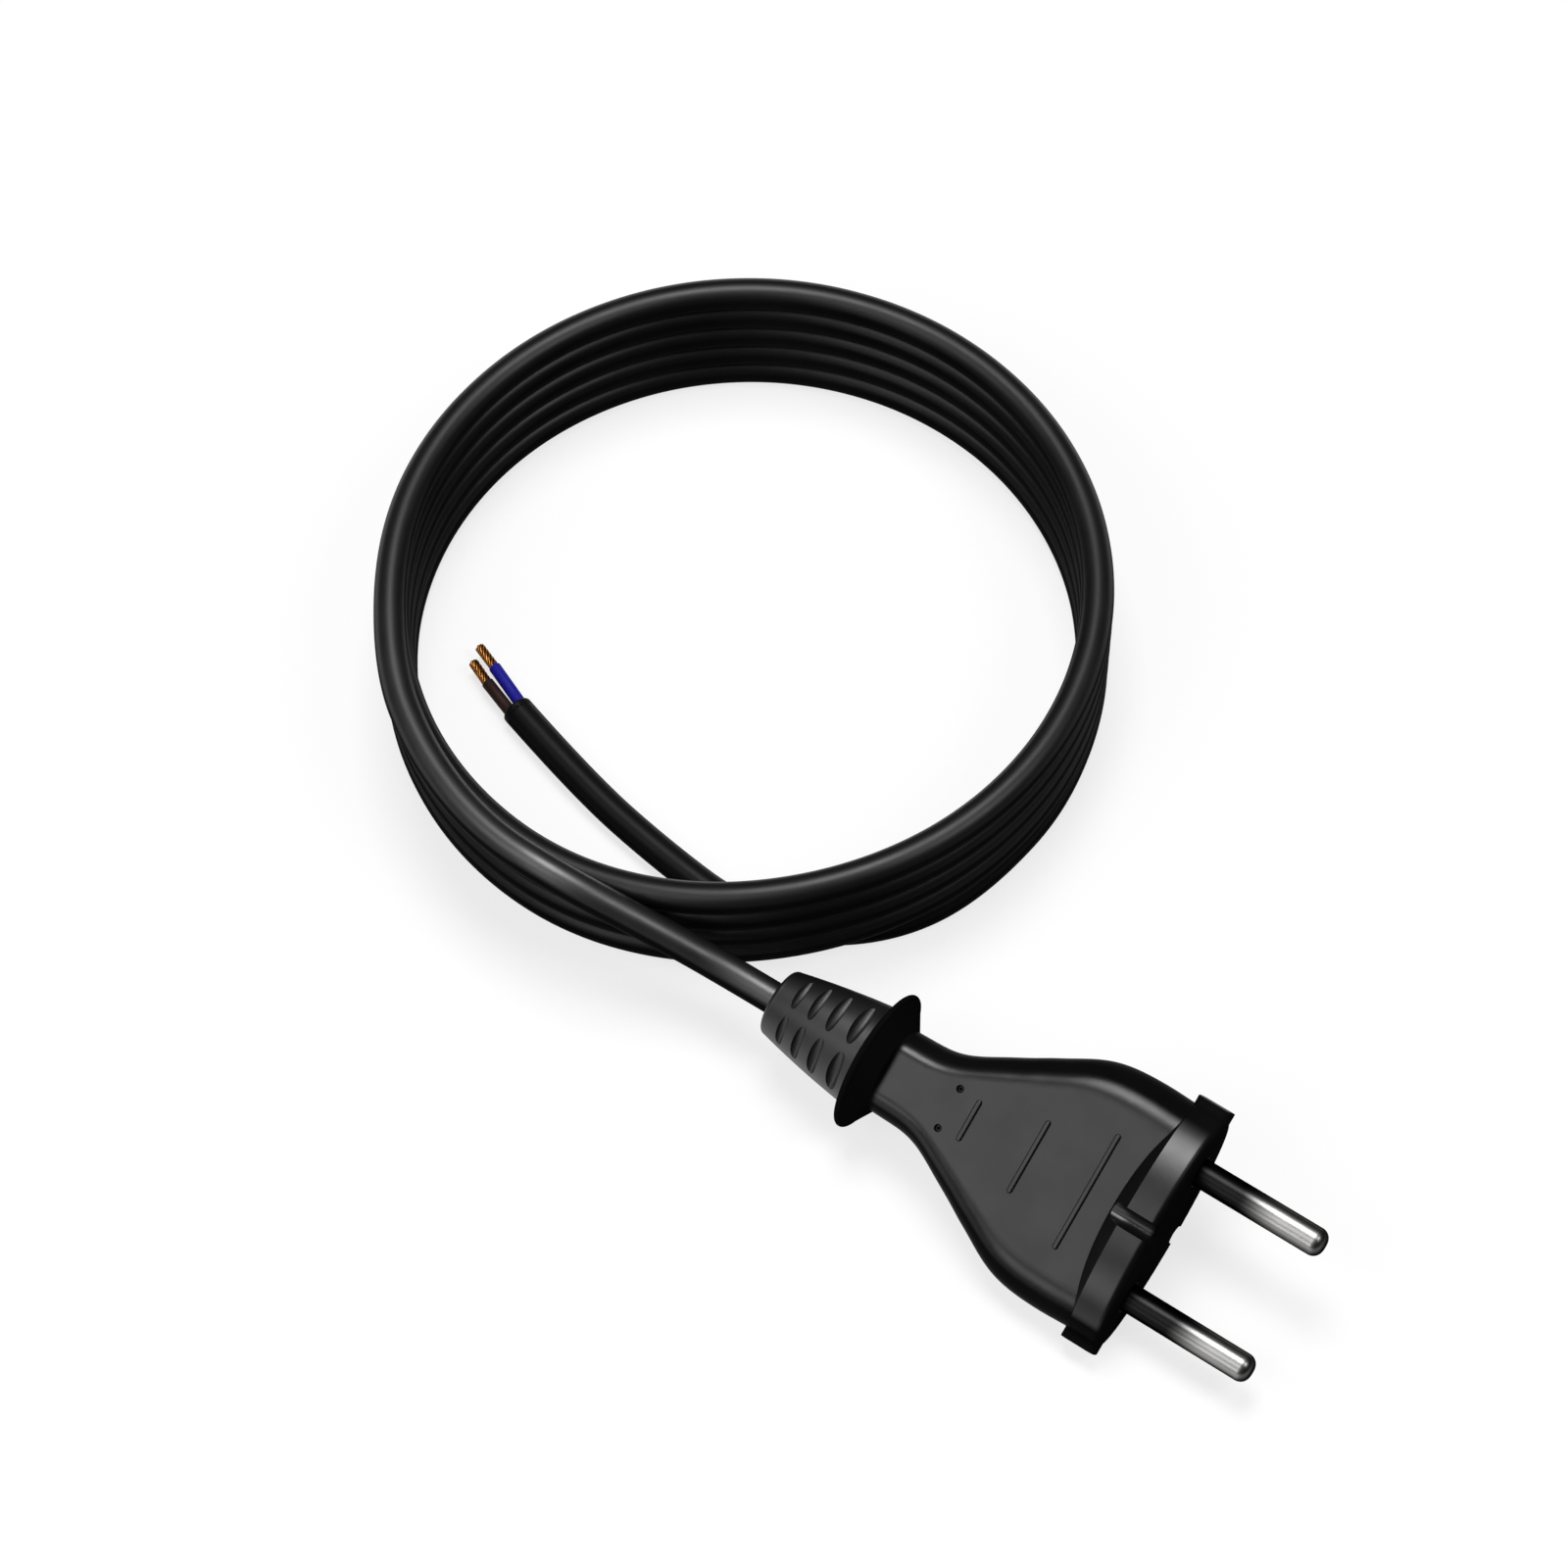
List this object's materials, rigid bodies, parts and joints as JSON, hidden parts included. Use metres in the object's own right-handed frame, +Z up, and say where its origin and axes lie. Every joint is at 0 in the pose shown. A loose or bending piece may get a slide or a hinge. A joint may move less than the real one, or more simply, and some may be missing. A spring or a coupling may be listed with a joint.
{
  "type": "power cord",
  "caption": "Mains lead with a flat moulded unearthed plug, slitted strain relief and a round black cord wound in a stacked coil, its far end stripped to bare cores",
  "frame": {"origin": "middle of the plug's engagement face, on the plug's axis between the two pins", "axes": "+X is the plug's axis and points out along the pins, +Z is up as the cord lies on a floor, +Y is toward the side of the coil"},
  "size_m": [0.1712, 0.1167, 0.0247],
  "materials": {
    "black_pvc": "soft satin moulded PVC",
    "carrier_plastic": "rigid moulded plastic",
    "pin_metal": "bright plated metal",
    "cord_jacket": "smooth satin PVC jacket",
    "brown_core": "dark brown core insulation",
    "blue_core": "blue core insulation",
    "copper": "bare twisted copper strands"
  },
  "bodies": {
    "root": {"plug_body": "black_pvc", "pin_carrier": "carrier_plastic", "live_pin": "pin_metal", "neutral_pin": "pin_metal", "plug_core_brown": "brown_core", "plug_core_blue": "blue_core", "plug_strands_brown": "copper", "plug_strands_blue": "copper", "cord_lead": "cord_jacket", "cord_coil": "cord_jacket", "cord_tail": "cord_jacket", "core_end_brown": "brown_core", "core_end_blue": "blue_core", "strands_end_brown": "copper", "strands_end_blue": "copper"}
  },
  "joints": []
}
